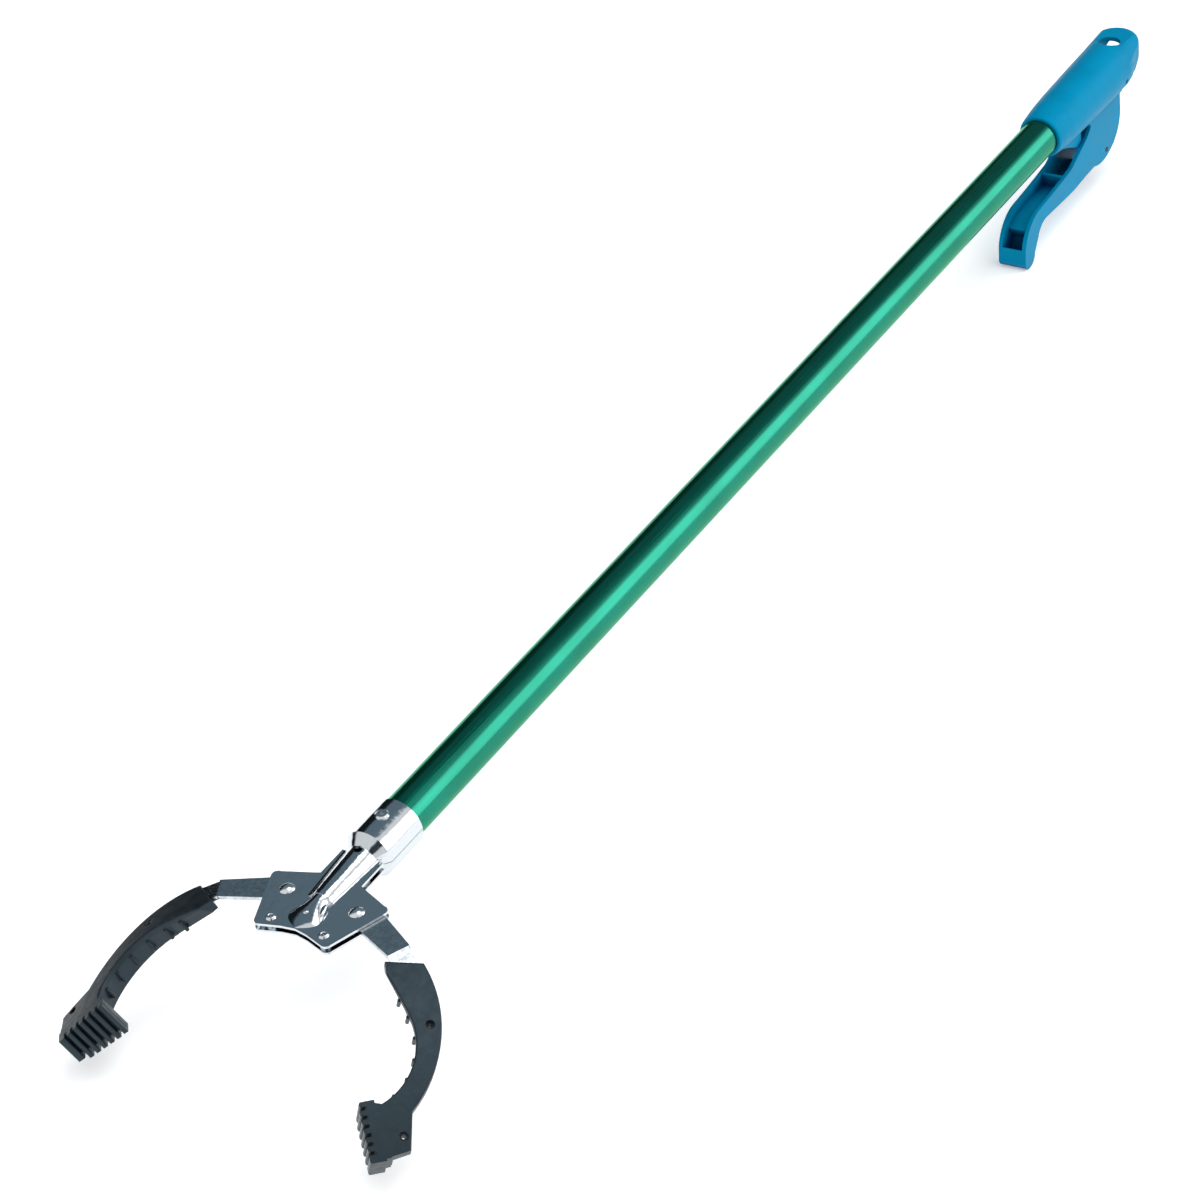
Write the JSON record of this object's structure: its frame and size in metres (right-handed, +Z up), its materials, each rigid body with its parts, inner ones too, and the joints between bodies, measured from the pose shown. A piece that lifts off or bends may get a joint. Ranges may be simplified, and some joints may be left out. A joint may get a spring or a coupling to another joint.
{
  "type": "reacher grabber",
  "caption": "Reacher grabber: a long green tube whose squeeze trigger pulls a rod that closes two curved, ribbed fingers.",
  "frame": {"origin": "on the floor under the middle of the tool's length, at the height of the trigger's lowest point", "axes": "+X along the tube from the claw to the handle, +Z up, +Y to the side of the left finger"},
  "size_m": [0.9196, 0.191, 0.0802],
  "materials": {
    "green_tube": "green anodised, glossy",
    "plated_steel": "bright plated sheet steel",
    "arm_steel": "plated steel strip",
    "rivet_steel": "bright rivets",
    "dark_steel": "blackened steel",
    "bush_brass": "turned brass",
    "finger_plastic": "dark slate, slightly satin",
    "rod_steel": "plain steel",
    "guide_plastic": "natural nylon",
    "spring_steel": "spring wire",
    "blue_plastic": "cyan-blue moulded plastic, satin"
  },
  "bodies": {
    "frame": {"tube": "green_tube", "top_claw_plate": "plated_steel", "bottom_claw_plate": "plated_steel", "ferrule_rivets": "rivet_steel", "pivot_rivets": "rivet_steel", "pivot_bushes": "bush_brass", "corner_rivets": "rivet_steel", "corner_spacers": "plated_steel", "front_rod_guide": "guide_plastic", "spring_seat": "guide_plastic", "return_spring": "spring_steel", "handle_body": "blue_plastic", "trigger_pivot_pin": "dark_steel"},
    "trigger": {"trigger": "blue_plastic", "draw_pin": "rod_steel"},
    "rod": {"pull_rod": "rod_steel", "crosshead": "rod_steel", "crosshead_pins": "rod_steel", "spring_collar": "rod_steel", "rod_yoke": "rod_steel"},
    "left_finger": {"left_arm": "arm_steel", "left_finger_cover": "finger_plastic", "left_cover_rivets": "dark_steel"},
    "right_finger": {"right_arm": "arm_steel", "right_finger_cover": "finger_plastic", "right_cover_rivets": "dark_steel"}
  },
  "joints": [
    {"name": "trigger_squeeze", "type": "hinge", "parent": "frame", "child": "trigger", "pos_m": [0.41206, 0, 0.02139], "axis": [0, 1, 0], "range_deg": [0, 14], "stiffness_Nm_per_rad": 2.17, "springref_deg": -20.05},
    {"name": "rod_slide", "type": "slide", "parent": "frame", "child": "rod", "axis": [1, 0, 0], "range_m": [0, 0.00869], "deforming": ["return_spring"]},
    {"name": "left_finger_turn", "type": "hinge", "parent": "frame", "child": "left_finger", "pos_m": [-0.36564, 0.0192, 0.06399], "axis": [0, 0, 1], "range_deg": [0, 43]},
    {"name": "right_finger_turn", "type": "hinge", "parent": "frame", "child": "right_finger", "pos_m": [-0.36564, -0.0192, 0.06399], "axis": [0, 0, -1], "range_deg": [0, 43]}
  ],
  "couplings": [
    {"joint": "rod_slide", "follows": "trigger_squeeze", "m_per_rad": 0.03555},
    {"joint": "left_finger_turn", "follows": "trigger_squeeze", "ratio": 3.071},
    {"joint": "right_finger_turn", "follows": "trigger_squeeze", "ratio": 3.071}
  ]
}
